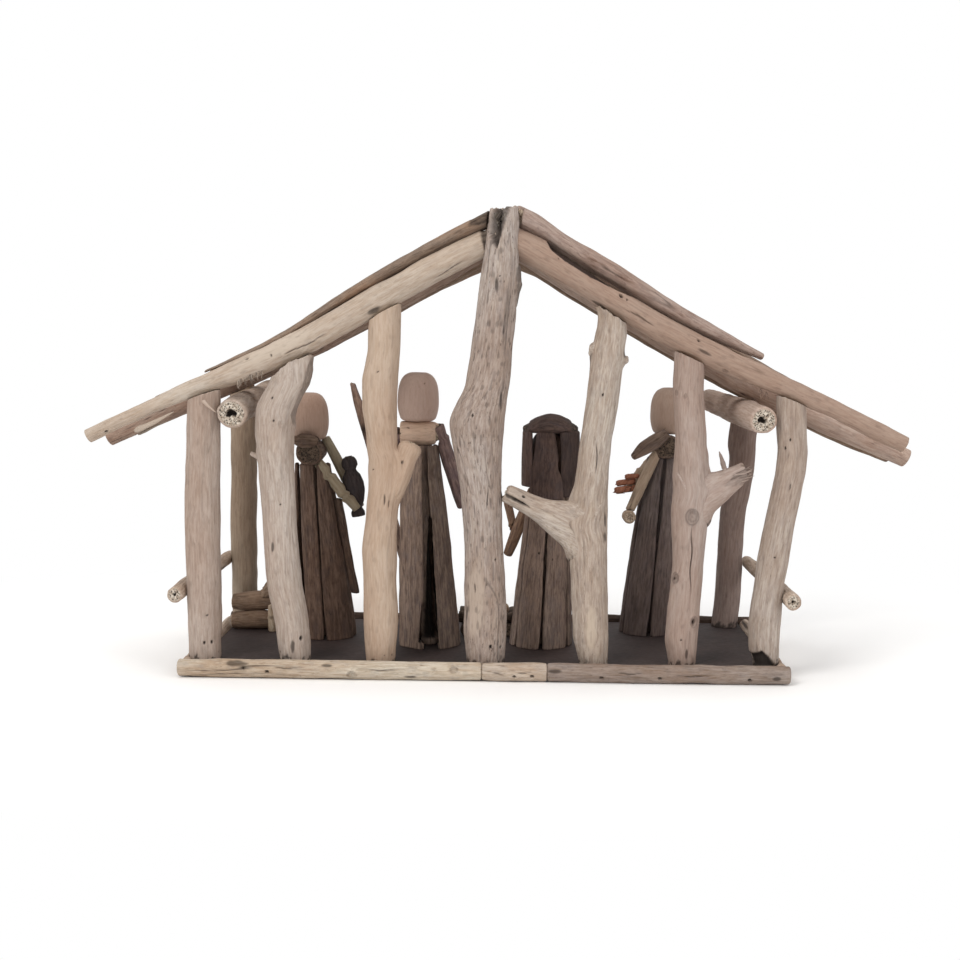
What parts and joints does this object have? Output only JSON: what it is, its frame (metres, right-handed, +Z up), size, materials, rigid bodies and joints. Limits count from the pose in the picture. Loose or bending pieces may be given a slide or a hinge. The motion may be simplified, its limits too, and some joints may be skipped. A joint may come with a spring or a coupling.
{
  "type": "nativity stable",
  "caption": "Rustic nativity stable of driftwood sticks on a dark painted board, with driftwood figures inside.",
  "frame": {"origin": "centre of the base's underside", "axes": "+Z up, +X along the row of seven posts, +Y from the closed row of posts towards the open side"},
  "size_m": [0.6031, 0.1964, 0.337],
  "materials": {
    "painted_board": "matt dark paint",
    "pale_driftwood": "weathered bare",
    "grey_driftwood": "weathered bare",
    "pink_driftwood": "weathered bare",
    "brown_driftwood": "weathered bare",
    "dark_robe": "rough dark bark",
    "egg_head": "smooth satin",
    "nail_steel": "dull"
  },
  "bodies": {
    "root": {"base_board": "painted_board", "trim_near_left": "pale_driftwood", "trim_near_middle": "pale_driftwood", "trim_near_right": "pale_driftwood", "trim_left": "grey_driftwood", "trim_right": "grey_driftwood", "trim_far": "pale_driftwood", "post_1": "grey_driftwood", "post_2": "grey_driftwood", "post_3": "pale_driftwood", "king_post": "grey_driftwood", "post_5": "grey_driftwood", "post_6": "pink_driftwood", "post_7": "grey_driftwood", "far_post_left": "brown_driftwood", "far_post_right": "brown_driftwood", "eave_beam_left": "brown_driftwood", "eave_beam_right": "brown_driftwood", "side_rail_left": "grey_driftwood", "side_rail_right": "grey_driftwood", "ridge_pole": "brown_driftwood", "near_rafter_left": "pale_driftwood", "near_rafter_right": "pale_driftwood", "far_rafter_left": "brown_driftwood", "far_rafter_right": "brown_driftwood", "roof_pole_left_1": "brown_driftwood", "roof_pole_left_2": "brown_driftwood", "roof_pole_right_1": "brown_driftwood", "roof_pole_right_2": "brown_driftwood", "roof_slat_left_1": "brown_driftwood", "roof_slat_left_2": "brown_driftwood", "roof_slat_left_3": "brown_driftwood", "roof_slat_right_1": "brown_driftwood", "roof_slat_right_2": "brown_driftwood", "roof_slat_right_3": "brown_driftwood", "nails": "nail_steel", "left_bearer_robe": "dark_robe", "left_bearer_shoulders": "dark_robe", "left_bearer_head": "egg_head", "left_bearer_arms": "brown_driftwood", "left_bearer_jar": "dark_robe", "shepherd_robe": "dark_robe", "shepherd_shoulders": "brown_driftwood", "shepherd_head": "egg_head", "shepherd_arms": "dark_robe", "shepherd_staff": "dark_robe", "mother_robe": "dark_robe", "mother_head": "egg_head", "mother_veil": "dark_robe", "mother_arms": "brown_driftwood", "right_bearer_robe": "dark_robe", "right_bearer_shoulders": "dark_robe", "right_bearer_head": "egg_head", "right_bearer_arms": "brown_driftwood", "right_bearer_gift": "brown_driftwood", "manger": "dark_robe", "infant": "pale_driftwood", "sheep_body": "brown_driftwood", "sheep_head": "brown_driftwood", "sheep_leg": "pale_driftwood"}
  },
  "joints": []
}
